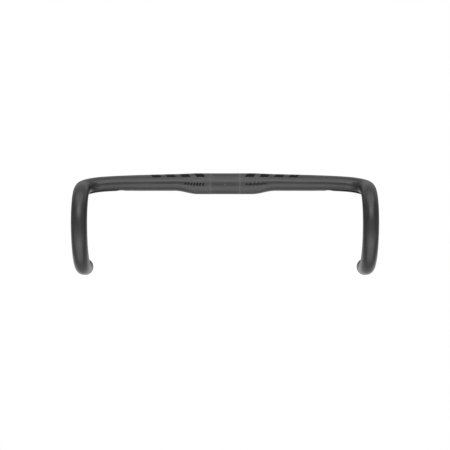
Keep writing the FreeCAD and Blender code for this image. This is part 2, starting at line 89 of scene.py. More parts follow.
def mix(start, end, share):
    """The value a share of the way from start to end."""
    return start + (end - start) * share


def spaced(start, end, step):
    """Evenly spaced values from start to end, about step apart."""
    return np.linspace(start, end, ceil(abs(end - start) / step) + 1)


# ---------------------------------------------------------------- the line that the tube follows

class Line:
    """The centre line of the left half, from the barrel to the drop's end."""

    def __init__(self):
        self.shoulder = FLATS_START - CLAMP_HALF_LENGTH
        self.flats_slope = (JOINT_RISE - FLATS_RISE) / (JOINT_X - FLATS_START)
        self.flat_along = unit([cos(BACKSWEEP), sin(BACKSWEEP), -tan(BEND_DROOP)])
        self.ramp_along = np.array([0, -cos(RAMP), -sin(RAMP)])
        self.hook_centre = np.array([HOOK_X, UPPER_HOOK_RADIUS - HOOK_REACH, HOOK_FRONT_Z])
        self.lower_centre = np.array([HOOK_X, LOWER_HOOK_RADIUS - HOOK_REACH, HOOK_FRONT_Z])
        self.ramp_end = self.hook_centre + UPPER_HOOK_RADIUS * np.array([0, -sin(RAMP), cos(RAMP)])

        joint = self.top(JOINT_X)
        corner_y = joint[1] + (HOOK_X - joint[0]) * tan(BACKSWEEP)
        corner = self.ramp_end - (self.ramp_end[1] - corner_y) / self.ramp_along[1] * self.ramp_along
        self.bend_angle = np.arccos(self.flat_along @ self.ramp_along)
        tangent = BEND_RADIUS * tan(self.bend_angle / 2)
        self.bend_start = corner - tangent * self.flat_along
        self.bend_end = corner + tangent * self.ramp_along
        self.down = unit(np.cross(self.flat_along, self.ramp_along))
        self.inward = np.cross(self.down, self.flat_along)
        self.bend_centre = self.bend_start + BEND_RADIUS * self.inward

    def top(self, x):
        """The centre of the top at x, 0 or more: level on the barrel, rising and sweeping back past it."""
        share = min(max(x - CLAMP_HALF_LENGTH, 0) / self.shoulder, 1)
        past = max(x - FLATS_START, 0)
        back = tan(BACKSWEEP) * (self.shoulder * share * share / 2 + past)
        return np.array([x, back, FLATS_RISE * ease(share) + self.flats_slope * past])

    def approach(self, x):
        """The centre and the direction along, from the joint to the bend, as the top begins to droop."""
        share = (x - JOINT_X) / (self.bend_start[0] - JOINT_X)
        droop = self.bend_start[2] - self.top(self.bend_start[0])[2]
        return self.top(x) + droop * share ** 3 * Z_AXIS, unit(mix(X_AXIS, self.flat_along, share))

    def bend(self, angle):
        """The centre, the direction along and the direction inward, at an angle round the bend."""
        inward = cos(angle) * self.inward - sin(angle) * self.flat_along
        along = cos(angle) * self.flat_along + sin(angle) * self.inward
        return self.bend_centre - BEND_RADIUS * inward, along, inward


line = Line()


class Ring:
    """One oval of the tube: its centre, its axes across and up, its half axes and the wall behind it."""

    def __init__(self, centre, along, half_depth, half_height, wall, across=None, bore=None):
        self.centre = centre
        self.across = unit(np.cross(along, Z_AXIS)) if across is None else across
        self.up = np.cross(self.across, along)
        self.half_depth, self.half_height = half_depth, half_height
        self.bore = bore or (half_depth - wall, half_height - wall)

    def directions(self, turns):
        """From the centre towards each point of the oval, and how far each point is."""
        reach = np.outer(self.half_depth * np.cos(turns), self.across) \
            + np.outer(self.half_height * np.sin(turns), self.up)
        radii = np.linalg.norm(reach, axis=1)
        return reach / radii[:, None], radii

    def bore_radii(self, directions):
        """How far the bore is in each direction."""
        depth, height = self.bore
        return 1 / np.hypot(directions @ self.across / depth, directions @ self.up / height)


def top_ring(x):
    """The oval of the centre section at x, either side of the middle."""
    share = min(max(abs(x) - CLAMP_HALF_LENGTH, 0) / line.shoulder, 1)
    past = max(abs(x) - FLATS_START, 0) / (JOINT_X - FLATS_START)
    depth = mix(mix(CLAMP_RADIUS, FLATS_DEPTH, ease(share)), JOINT_DEPTH, past)
    height = mix(mix(CLAMP_RADIUS, FLATS_HEIGHT, ease(share)), JOINT_HEIGHT, past)
    centre = line.top(abs(x)) * (1 if x >= 0 else -1, 1, 1)
    bore = (SOCKET_DEPTH, SOCKET_HEIGHT) if abs(x) >= JOINT_X - SLEEVE_REACH else None
    return Ring(centre, X_AXIS, depth, height, mix(CLAMP_WALL, FLATS_WALL, share), bore=bore)


def round_ring(centre, along, across):
    """A ring of the round grip."""
    return Ring(centre, along, GRIP_RADIUS, GRIP_RADIUS, GRIP_WALL, across=across)


def joint_rings():
    """From the joint to the bend."""
    rings = []
    for x in spaced(JOINT_X, line.bend_start[0], BEND_STEP)[:-1]:
        share = (x - JOINT_X) / (line.bend_start[0] - JOINT_X)
        centre, along = line.approach(x)
        bore = (SOCKET_DEPTH, SOCKET_HEIGHT) if x <= JOINT_X + SLEEVE_REACH else None
        rings.append(Ring(centre, along, mix(JOINT_DEPTH, BEND_DEPTH, ease(share)),
                          mix(JOINT_HEIGHT, BEND_HEIGHT, share * (2 - share)), GRIP_WALL, bore=bore))
    return rings


def bend_rings():
    """Round the bend, where the oval becomes the round grip."""
    rings = []
    for angle in spaced(0, line.bend_angle, BEND_STEP / BEND_RADIUS):
        share = ease(angle / line.bend_angle)
        centre, along, _ = line.bend(angle)
        rings.append(Ring(centre, along, mix(BEND_DEPTH, GRIP_RADIUS, share),
                          mix(BEND_HEIGHT, GRIP_RADIUS, share), GRIP_WALL))
    return rings


def ramp_rings():
    """Along the ramp to the hook."""
    shares = spaced(0, 1, BEND_STEP / np.linalg.norm(line.ramp_end - line.bend_end))[1:-1]
    return [round_ring(mix(line.bend_end, line.ramp_end, share), line.ramp_along, -X_AXIS)
            for share in shares]


def hook_rings():
    """Round the hook's two arcs."""
    rings = []
    for centre, radius, start, end in ((line.hook_centre, UPPER_HOOK_RADIUS, RAMP, pi / 2),
                                       (line.lower_centre, LOWER_HOOK_RADIUS, pi / 2, pi - END_SLOPE)):
        for angle in spaced(start, end, HOOK_STEP / radius)[:-1]:
            outward = np.array([0, -sin(angle), cos(angle)])
            rings.append(round_ring(centre + radius * outward, np.cross(outward, -X_AXIS), -X_AXIS))
    return rings


def end_rings():
    """Through the short curve outwards, and along the straight end."""
    start = line.lower_centre + LOWER_HOOK_RADIUS * np.array([0, -sin(END_SLOPE), -cos(END_SLOPE)])
    backward = np.array([0, cos(END_SLOPE), -sin(END_SLOPE)])
    radius = FLARE_LENGTH / OUTSWEEP

    def curve(angle):
        """The centre, the direction along and the direction across, at an angle round the curve."""
        centre = start + radius * (sin(angle) * backward + (1 - cos(angle)) * X_AXIS)
        along = cos(angle) * backward + sin(angle) * X_AXIS
        return centre, along, sin(angle) * backward - cos(angle) * X_AXIS

    curved = [round_ring(*curve(angle)) for angle in spaced(0, OUTSWEEP, HOOK_STEP / radius)[:-1]]
    centre, along, across = curve(OUTSWEEP)
    straight = [round_ring(centre + reach * along, along, across)
                for reach in spaced(0, END_LENGTH, HOOK_STEP)]
    return curved + straight


def drop_rings():
    """The left drop's rings, from the joint to the end."""
    return joint_rings() + bend_rings() + ramp_rings() + hook_rings() + end_rings()


# ---------------------------------------------------------------- the cable groove

def smooth_min(a, b, blend):
    """The smaller of a and b, rounded off where they differ by less than the blend."""
    near = np.maximum(blend - np.abs(a - b), 0) / blend
    return np.minimum(a, b) - near * near * blend / 4


def smooth_max(a, b, blend):
    """The larger of a and b, rounded off in the same way."""
    return -smooth_min(-a, -b, blend)


def from_run(points, start, end):
    """How far points are from a straight run."""
    run = end - start
    share = np.clip((points - start) @ run / (run @ run), 0, 1)
    return np.linalg.norm(points - start - share[..., None] * run, axis=-1)


def from_groove(points):
    """How far points are outside the cable groove and its mouth, and less than 0 inside them."""
    _, along_out, inward_out = line.bend(line.bend_angle)
    low = GROOVE_DOWN * line.down
    first = line.bend_start - GROOVE_RUN_IN * line.flat_along
    turn_in = line.bend_start + GROOVE_INWARD * line.inward + low
    turn_out = line.bend_end + GROOVE_INWARD * inward_out + low
    mouth = first - MOUTH_SETBACK * line.flat_along + MOUTH_INWARD * line.inward + MOUTH_DOWN * line.down

    from_centre = points - line.bend_centre - low
    angle = np.arctan2(from_centre @ line.flat_along, -from_centre @ line.inward)
    angle = np.clip(angle, 0, line.bend_angle)[..., None]
    inward = np.cos(angle) * line.inward - np.sin(angle) * line.flat_along
    nearest = line.bend_centre + low - (BEND_RADIUS - GROOVE_INWARD) * inward

    # A straight run in, the turn round the bend and a straight run out.
    path = np.minimum(from_run(points, turn_in - GROOVE_RUN_IN * line.flat_along, turn_in),
                      from_run(points, turn_out, turn_out + GROOVE_RUN_OUT * along_out))
    path = np.minimum(path, np.linalg.norm(points - nearest, axis=-1)) - GROOVE_RADIUS
    return smooth_min(path, np.linalg.norm(points - mouth, axis=-1) - MOUTH_RADIUS, MOUTH_BLEND)


def carved(centres, directions, radii):
    """The radii of the skin once the groove is cut, its lips softened: the root of a smooth difference."""
    near, far = radii / 2, radii + GROOVE_LIP
    for _ in range(HALVINGS):
        middle = (near + far) / 2
        points = centres[:, None] + middle[..., None] * directions
        outside = smooth_max(middle - radii, -from_groove(points), GROOVE_LIP) > 0
        near, far = np.where(outside, near, middle), np.where(outside, middle, far)
    return (near + far) / 2


# ---------------------------------------------------------------- meshes

def new_piece(name, vertices, faces, side=1, angle=SHARP_ANGLE):
    """A mesh object in metres from points in millimetres, mirrored for the right side."""
    mesh = bpy.data.meshes.new(name)
    mesh.from_pydata((np.asarray(vertices) * (side * MM, MM, MM)).tolist(), [], faces)
    mesh.validate()
    outward = bmesh.new()
    outward.from_mesh(mesh)
    bmesh.ops.recalc_face_normals(outward, faces=outward.faces)
    outward.to_mesh(mesh)
    outward.free()
    mesh.shade_smooth()
    mesh.set_sharp_from_angle(angle=radians(angle))
    piece = bpy.data.objects.new(name, mesh)
    bpy.context.scene.collection.objects.link(piece)
    return piece


def grid_faces(rows, columns, around_rows=False):
    """Quads between neighbouring rows of points, closed across the columns."""
    faces = []
    for row in range(rows if around_rows else rows - 1):
        after = (row + 1) % rows
        for column in range(columns):
            beside = (column + 1) % columns
            faces.append((row * columns + column, row * columns + beside,
                          after * columns + beside, after * columns + column))
    return faces


def shell(name, rings, side, grooved=0, bevels=(JOINT_BEVEL, JOINT_BEVEL)):
    """A hollow shell through rings, with a bevel at each end. The first grooved rings have the groove."""
    turns = np.arange(ROUND_STEPS) * 2 * pi / ROUND_STEPS
    if grooved:
        turns = turns - CROWDING * np.sin(turns - GROOVE_TURN)
    centres = np.array([ring.centre for ring in rings])
    directions, radii = (np.array(found) for found in zip(*[ring.directions(turns) for ring in rings]))
    bores = np.array([ring.bore_radii(direction) for ring, direction in zip(rings, directions)])
    cut = np.zeros_like(radii)
    if grooved:
        whole = radii[:grooved].copy()
        radii[:grooved] = carved(centres[:grooved], directions[:grooved], whole)
        cut[:grooved] = whole - radii[:grooved]
        bores = np.minimum(bores, radii - GROOVE_WALL)
    skin = centres[:, None] + radii[..., None] * directions
    bore = centres[:, None] + bores[..., None] * directions

    first_along, last_along = centres[1] - centres[0], centres[-1] - centres[-2]
    skin = np.concatenate([
        [centres[0] + (skin[0] - centres[0]) * (1 - bevels[0] / radii[0].mean())],
        [skin[0] + bevels[0] * unit(first_along)], skin[1:-1], [skin[-1] - bevels[1] * unit(last_along)],
        [centres[-1] + (skin[-1] - centres[-1]) * (1 - bevels[1] / radii[-1].mean())]])
    rows = np.concatenate([skin, bore[::-1]])

    # Each point's place along the tube and round it, as if the tube were straight.
    steps = np.linalg.norm(np.diff(centres, axis=0), axis=1)
    travel = rings[0].centre[0] + np.concatenate([[0], np.cumsum(steps)])
    travel = np.concatenate([travel[:1], travel, travel[-1:], travel[::-1]])
    local = np.stack([np.repeat(travel[:, None], ROUND_STEPS, axis=1) * side,
                      np.cos(turns) * GRIP_RADIUS + 0 * rows[..., 0],
                      np.sin(turns) * GRIP_RADIUS + 0 * rows[..., 0]], axis=-1)
    faces = grid_faces(len(rows), ROUND_STEPS, around_rows=True)
    piece = new_piece(name, rows.reshape(-1, 3), faces, side)
    mark_shell(piece, local, np.concatenate([cut[:1], cut, cut[-1:], 0 * cut[::-1]]))
    return piece


def mark_shell(piece, local, cut):
    """Give each point its place along and round the tube, and how deep the groove is there, in metres."""
    fibre = piece.data.attributes.new("fibre", "FLOAT_VECTOR", "POINT")
    fibre.data.foreach_set("vector", (local * MM).astype(np.float32).ravel())
    depth = piece.data.attributes.new("groove_depth", "FLOAT", "POINT")
    depth.data.foreach_set("value", (cut * MM).astype(np.float32).ravel())


# ---------------------------------------------------------------- printed films on the centre section

FILM_LIFT, FILM_SINK = 0.04, 0.12    # how far a film stands over the skin, and how far its edge goes in
FILM_STEP, FILM_TURN = 1.0, 3.0      # spacing of a film's points, along in millimetres and round in degrees
FILM_SHARP_ANGLE = 50
CREST = 89.0                         # where the dark bars end, in degrees up from the front

# A regular row of equal bars over the top each side of the clamp zone, leaning outwards. The bottoms and
# tops of all these marks are turns in degrees up from the front, and the rest is in millimetres.
BAR_PLACES, BAR_WIDTH, BAR_SLANT = np.arange(30, 100, 22), 13.0, 6.0
BAR_BOTTOM = 38
# A row of equal dashes, and ruler ticks with a tall one in every three.
DASH_PLACES, DASH_WIDTH, DASH_SLANT = np.arange(-62, -33, 4.4), 2.6, 2.4
DASH_BOTTOM, DASH_TOP = -12, 3
TICK_PLACES, TICK_WIDTH = np.arange(31.5, 63, 2.1), 1.3
TICK_BOTTOM, TICK_TOP, TALL_TICK_TOP = -11, 0, 6
# Pale lines right round at the clamp zone's limits, and a dot at its middle.
LIMIT_PLACES, LIMIT_WIDTH = (-22.8, 22.2), 0.6
DOT_WIDTH, DOT_BOTTOM, DOT_TOP = 1.6, -9, -2


def skin_point(x, turn, lift):
    """A point over the centre section's skin. turn is in degrees up from the front."""
    ring = top_ring(x)
    towards_front, upwards = cos(radians(turn)), sin(radians(turn))
    reach = ring.half_depth * towards_front * ring.across + ring.half_height * upwards * ring.up
    outward = unit(towards_front / ring.half_depth * ring.across + upwards / ring.half_height * ring.up)
    return ring.centre + reach + lift * outward


def film(name, patches):
    """Thin closed slabs on the skin. Each patch has four corners (x, turn), in order round it."""
    vertices, faces = [], []
    for corners in patches:
        (x0, t0), (x1, t1), (x2, t2), (x3, t3) = corners
        across = max(ceil(max(abs(x1 - x0), abs(x2 - x3)) / FILM_STEP), 1) + 1
        upward = max(ceil(max(abs(t3 - t0), abs(t2 - t1)) / FILM_TURN), 1) + 1
        for lift in (FILM_LIFT, -FILM_SINK):
            for v in np.linspace(0, 1, upward):
                for u in np.linspace(0, 1, across):
                    vertices.append(skin_point(mix(mix(x0, x1, u), mix(x3, x2, u), v),
                                               mix(mix(t0, t1, u), mix(t3, t2, u), v), lift))
        size = across * upward
        top = len(vertices) - 2 * size
        for row in range(upward - 1):
            for column in range(across - 1):
                a = top + row * across + column
                quad = (a, a + 1, a + across + 1, a + across)
                faces += [quad, tuple(corner + size for corner in reversed(quad))]
        # The outline of the patch, round which the slab's edge runs.
        border = [*range(across), *range(2 * across - 1, size, across),
                  *range(size - 2, size - across - 1, -1), *range(size - 2 * across, 0, -across)]
        for a, b in zip(border, border[1:] + border[:1]):
            faces.append((top + b, top + a, top + size + a, top + size + b))
    return new_piece(name, vertices, faces, angle=FILM_SHARP_ANGLE)


def slanted(x, width, bottom, top, slant):
    """The corners of a slanted bar that starts at x, from one turn up to another."""
    return (x, bottom), (x + width, bottom), (x + width + slant, top), (x + slant, top)


def graphics():
    """Dark slanted bars up to the top's crest, ticks beside the clamp zone, and its pale limit lines."""
    bars = [slanted(sign * x, sign * BAR_WIDTH, BAR_BOTTOM, CREST, sign * BAR_SLANT)
            for sign in SIDES.values() for x in BAR_PLACES]
    dark = film("top_graphic", bars)
    dashes = [slanted(x, DASH_WIDTH, DASH_BOTTOM, DASH_TOP, DASH_SLANT) for x in DASH_PLACES]
    ruler = [slanted(x, TICK_WIDTH, TICK_BOTTOM, TICK_TOP if number % 3 else TALL_TICK_TOP, 0)
             for number, x in enumerate(TICK_PLACES)]
    ticks = film("clamp_ticks", dashes + ruler)
    limits = [slanted(x, LIMIT_WIDTH, -180, 180, 0) for x in LIMIT_PLACES]
    middle = [slanted(-DOT_WIDTH / 2, DOT_WIDTH, DOT_BOTTOM, DOT_TOP, 0)]
    pale = film("clamp_limits", limits + middle)
    return dark, ticks, pale


# ---------------------------------------------------------------- end plugs, about their own axis

PLUG_GAP = 0.05
SPIGOT_RADIUS = GRIP_RADIUS - GRIP_WALL - PLUG_GAP
SPIGOT_LENGTH, SPIGOT_LEAD_IN = 4.0, 0.6
FLANGE_RADIUS, FLANGE_EDGE, FLANGE_HEIGHT, FLANGE_BEVEL = 12.7, 1.6, 3.4, 2.4
FLANGE_CROWN = 0.6       # how far the middle of the flange's bevel is below its face
CAP_SOFTNESS = 0.15      # width of the small bevels on the cap's edges
RECESS_RADIUS, HEAD_SEAT, SCREW_HOLE = 3.8, -1.8, 2.1
RING_RADIUS, RING_WIDTH, RING_DEPTH = 7.2, 0.7, 0.35     # a fine ring sunk in the cap's face
EXPANDER_END, EXPANDER_BORE, EXPANDER_MOUTH = -22.0, 6.65, 7.65
MOUTH_LENGTH, RIB_PITCH, RIB_DEPTH = 2.5, 2.0, 0.35
RIB_SHARP_ANGLE = 25
RIB_GAP_TOP, RIB_GAP_FLOOR = 0.6, 0.3    # half widths of the gaps between the ribs, at their top and floor
SLOT_TOP, SLOT_WIDTH = -9.0, 2.0
SCREW_RADIUS, THREAD_DEPTH, THREAD_PITCH, SCREW_LENGTH = 2.0, 0.38, 0.7, 30.0
THREAD_FLANK = 3.2       # steepness of the thread's flanks; the crests are flat where it passes 1
TIP_RADIUS = 0.8         # of the small flat at the screw's tip
HEAD_RADIUS, HEAD_HEIGHT, KNURLS, KNURL_DEPTH = 3.5, 4.0, 24, 0.1
HEAD_BEVEL, KNURLS_END = 0.3, 0.7        # bevel under the head and in the socket, and where the knurls end
HEAD_CROWN, HEAD_ROUND = 0.45, 0.12      # the bevel round the head's top, and its soft edge
SOCKET_ENTRY = 1.83      # radius of the socket's round entry
SOCKET_FLOOR, DRILLED_RADIUS = 0.5, 0.3  # depth and end radius of the drilled point below the socket
KEY_SIZE, KEY_DEPTH = 3.0, 2.2
SCREW_SHARP_ANGLE = 40
LATHE_STEPS, SCREW_STEPS, THREAD_ROWS = 96, 48, 8
UNDER_HEAD = HEAD_SEAT + PLUG_GAP


def drop_end():
    """The matrix whose columns are the plug's own X, Y and Z, and the centre of the left drop's end."""
    last = drop_line[-1].centre
    along = unit(last - drop_line[-2].centre)
    sideways = unit(Z_AXIS - (Z_AXIS @ along) * along)
    return np.stack([sideways, np.cross(along, sideways), along], axis=1), last


def at_drop_end(points):
    """Points of the plug's own frame, at the end of the left drop."""
    axes, end = drop_end()
    return np.asarray(points) @ axes.T + end


def lathe(name, profile, side, softness=0.0):
    """A closed solid turned about the plug's axis: its profile is pairs (radius, height)."""
    turns = np.arange(LATHE_STEPS) * 2 * pi / LATHE_STEPS
    points = [(radius * cos(turn), radius * sin(turn), height)
              for radius, height in profile for turn in turns]
    faces = grid_faces(len(profile), LATHE_STEPS, around_rows=True)
    piece = new_piece(name, at_drop_end(points), faces, side)
    if softness:
        bevel = piece.modifiers.new("soft_edges", "BEVEL")
        bevel.width, bevel.segments, bevel.angle_limit = softness * MM, 2, radians(30)
    return piece


def cap(name, side):
    """The cap, with a fine ring sunk in its face."""
    face, ring_edge = FLANGE_HEIGHT, RING_RADIUS + RING_WIDTH
    profile = [
        (SCREW_HOLE, -SPIGOT_LENGTH), (SPIGOT_RADIUS - SPIGOT_LEAD_IN, -SPIGOT_LENGTH),
        (SPIGOT_RADIUS, -SPIGOT_LENGTH + SPIGOT_LEAD_IN), (SPIGOT_RADIUS, PLUG_GAP),
        (FLANGE_RADIUS, PLUG_GAP), (FLANGE_RADIUS, FLANGE_EDGE),
        (FLANGE_RADIUS - FLANGE_BEVEL / 2, face - FLANGE_CROWN), (FLANGE_RADIUS - FLANGE_BEVEL, face),
        (ring_edge, face), (ring_edge, face - RING_DEPTH),
        (RING_RADIUS, face - RING_DEPTH), (RING_RADIUS, face),
        (RECESS_RADIUS, face), (RECESS_RADIUS, HEAD_SEAT), (SCREW_HOLE, HEAD_SEAT)]
    return lathe(name, profile, side, softness=CAP_SOFTNESS)


def expander(name, side):
    """The slotted sleeve, with shallow ribs round it that grip the bore."""
    ribs = []
    for height in np.arange(-SPIGOT_LENGTH - RIB_PITCH, EXPANDER_END + RIB_PITCH / 2, -RIB_PITCH):
        ribs += [(SPIGOT_RADIUS, height + RIB_GAP_TOP), (SPIGOT_RADIUS - RIB_DEPTH, height + RIB_GAP_FLOOR),
                 (SPIGOT_RADIUS - RIB_DEPTH, height - RIB_GAP_FLOOR), (SPIGOT_RADIUS, height - RIB_GAP_TOP)]
    piece = lathe(name, [
        (EXPANDER_BORE, -SPIGOT_LENGTH), (SPIGOT_RADIUS, -SPIGOT_LENGTH), *ribs,
        (SPIGOT_RADIUS, EXPANDER_END), (EXPANDER_MOUTH, EXPANDER_END),
        (EXPANDER_BORE, EXPANDER_END + MOUTH_LENGTH)], side)
    narrow, wide = SLOT_WIDTH / 2, 2 * SPIGOT_RADIUS
    for half_x, half_y in ((narrow, wide), (wide, narrow)):
        cutter = slot_cutter(half_x, half_y, side)
        cut = piece.modifiers.new("slots", "BOOLEAN")
        cut.operation, cut.object, cut.solver = "DIFFERENCE", cutter, "EXACT"
        settled(piece)
        bpy.data.objects.remove(cutter)
    piece.data.set_sharp_from_angle(angle=radians(RIB_SHARP_ANGLE))
    return piece


def slot_cutter(half_x, half_y, side):
    """A box across the expander's end that cuts two slots."""
    outline = ((-half_x, -half_y), (half_x, -half_y), (half_x, half_y), (-half_x, half_y))
    corners = [(x, y, z) for z in (EXPANDER_END - SLOT_WIDTH, SLOT_TOP) for x, y in outline]
    sides = [(0, 3, 2, 1), (4, 5, 6, 7), (0, 1, 5, 4), (1, 2, 6, 5), (2, 3, 7, 6), (3, 0, 4, 7)]
    return new_piece("slot_cutter", at_drop_end(corners), sides, side)


def settled(piece):
    """Turn a piece's modifiers into its mesh."""
    bpy.context.view_layer.update()
    mesh = bpy.data.meshes.new_from_object(piece.evaluated_get(bpy.context.evaluated_depsgraph_get()))
    piece.modifiers.clear()
    piece.data = mesh


def hexagon_radius(turn):
    """How far a hexagon of the key's size is from its centre."""
    return KEY_SIZE / 2 / cos(turn % (pi / 3) - pi / 6)


def screw(name, side):
    """A socket-head screw with a cut thread and a knurled head."""
    turns = np.arange(SCREW_STEPS) * 2 * pi / SCREW_STEPS

    def row(height, radius):
        return [(radius(turn) * cos(turn), radius(turn) * sin(turn), height) for turn in turns]

    def thread(height, fade):
        def radius(turn):
            phase = (height / THREAD_PITCH - turn / (2 * pi)) % 1
            return SCREW_RADIUS - THREAD_DEPTH * fade * min(THREAD_FLANK * min(phase, 1 - phase), 1)
        return radius

    def plain(radius):
        return lambda turn: radius

    def knurled(turn):
        return HEAD_RADIUS - KNURL_DEPTH * (1 + cos(KNURLS * turn)) / 2

    tip = UNDER_HEAD - SCREW_LENGTH
    head_top = UNDER_HEAD + HEAD_HEIGHT
    knurls_end, socket_end = head_top - KNURLS_END, head_top - KEY_DEPTH
    rows = [row(tip, plain(TIP_RADIUS)), row(tip, plain(SCREW_RADIUS - THREAD_DEPTH))]
    for height in np.arange(tip + THREAD_PITCH / 2, UNDER_HEAD, THREAD_PITCH / THREAD_ROWS):
        rows.append(row(height, thread(height, min((UNDER_HEAD - height) / THREAD_PITCH, 1))))
    rows += [row(height, radius) for height, radius in (
        (UNDER_HEAD, plain(SCREW_RADIUS)), (UNDER_HEAD, plain(HEAD_RADIUS - HEAD_BEVEL)),
        (UNDER_HEAD + HEAD_BEVEL, plain(HEAD_RADIUS)), (UNDER_HEAD + 2 * HEAD_BEVEL, knurled),
        (knurls_end, knurled), (knurls_end + HEAD_BEVEL, plain(HEAD_RADIUS)),
        (head_top - HEAD_ROUND, plain(HEAD_RADIUS - HEAD_ROUND)),
        (head_top, plain(HEAD_RADIUS - HEAD_CROWN)), (head_top, plain(SOCKET_ENTRY)),
        (head_top - HEAD_BEVEL, hexagon_radius), (socket_end, hexagon_radius),
        (socket_end - SOCKET_FLOOR, plain(DRILLED_RADIUS)))]
    points = at_drop_end(np.array(rows).reshape(-1, 3))
    faces = grid_faces(len(rows), SCREW_STEPS)
    faces.append(tuple(range(SCREW_STEPS - 1, -1, -1)))
    faces.append(tuple(range((len(rows) - 1) * SCREW_STEPS, len(rows) * SCREW_STEPS)))
    return new_piece(name, points, faces, side, angle=SCREW_SHARP_ANGLE)


# ---------------------------------------------------------------- materials

# Noise, in cells for each metre: along the tube and twice across it, or the same each way.
STREAK_CELLS, TOW_CELLS, CLOUD_CELLS = (60, 1400, 1400), (14, 260, 260), (30, 60, 60)
SAND_CELLS, GRIT_CELLS, PEEL_CELLS, WORN_CELLS = 2300.0, 620.0, 900.0, 160.0
TURNING_CELLS, SMEAR_CELLS = (300, 9000, 300), 350.0     # the turned cone's axis is nearly along Y
# Relief, in metres.
WEAVE_RELIEF, GRIT_RELIEF, PEEL_RELIEF, TURNING_RELIEF = 0.00003, 0.00008, 0.00003, 0.00002
# Linear greys of the carbon, from its fibres to the sparkle of its grit, and of the painted shade deep in
# the groove.
FIBRE_DARK, FIBRE_LIGHT, CLOUDED, GRIT_LIGHT, SPARKLE, GROOVE_PAINTED_SHADE = 0.021, 0.033, 0.026, 0.066, 0.13, 0.008
GRIT_FADE = 5.0                      # millimetres over which a gritty band fades in
GROOVE_SHADE_FADE = (0.0001, 0.0018)       # metres of depth over which the painted shade in the groove darkens


class Nodes:
    """The node tree of a material or a world, with short ways to add nodes to it."""

    def __init__(self, owner):
        owner.use_nodes = True
        self.tree = owner.node_tree

    def put(self, socket, value):
        """Link a socket to another, or set its value."""
        if isinstance(value, bpy.types.NodeSocket):
            self.tree.links.new(value, socket)
        else:
            socket.default_value = value

    def add(self, kind, inputs, **settings):
        """The first output of a new node, with values or links for its inputs in order."""
        node = self.tree.nodes.new(f"ShaderNode{kind}")
        for setting, value in settings.items():
            setattr(node, setting, value)
        for socket, value in zip([socket for socket in node.inputs if socket.enabled], inputs):
            self.put(socket, value)
        return next(socket for socket in node.outputs if socket.enabled)

    def maths(self, operation, *values):
        return self.add("Math", values, operation=operation)

    def ramp(self, value, start, end, low=0.0, high=1.0):
        """A smooth step of a value, from low at start to high at end."""
        return self.add("MapRange", [value, start, end, low, high], interpolation_type="SMOOTHSTEP")


class Shader(Nodes):
    """A material round one Principled shader."""

    def __init__(self, name, **sockets):
        self.material = bpy.data.materials.new(name)
        super().__init__(self.material)
        self.surface = self.tree.nodes["Principled BSDF"]
        for socket, value in sockets.items():
            self.put(self.surface.inputs[socket.replace("_", " ")], value)

    def stretched(self, vector, scales):
        return self.add("VectorMath", [vector, scales], operation="MULTIPLY")

    def attribute(self, name):
        node = self.tree.nodes.new("ShaderNodeAttribute")
        node.attribute_name = name
        return node

    def place(self):
        """Where a point is, in metres."""
        return self.tree.nodes.new("ShaderNodeTexCoord").outputs["Object"]

    def noise(self, vector, scale=1.0, detail=3.0, roughness=0.55):
        return self.add("TexNoise", [vector, scale, detail, roughness])

    def between(self, share, first, second):
        """A colour between two, each a colour or a socket."""
        return self.add("Mix", [share, first, second], data_type="RGBA")

    def bumped(self, height, depth, strength, under=None):
        """A normal from a height of 0 to 1 over a depth in metres, on top of another."""
        node = self.tree.nodes.new("ShaderNodeBump")
        node.inputs["Strength"].default_value = strength
        node.inputs["Distance"].default_value = depth
        self.put(node.inputs["Height"], height)
        if under is not None:
            self.put(node.inputs["Normal"], under)
        return node.outputs["Normal"]

    def finish(self, colour, roughness=None, normal=None):
        """The material, with what its surface is made of."""
        for socket, value in (("Base Color", colour), ("Roughness", roughness), ("Normal", normal)):
            if value is not None:
                self.put(self.surface.inputs[socket], value)
        return self.material


def grey(level, warmth=0.0):
    """A linear grey, a little warm or cold."""
    return (level * (1 + warmth), level, level * (1 - warmth), 1.0)


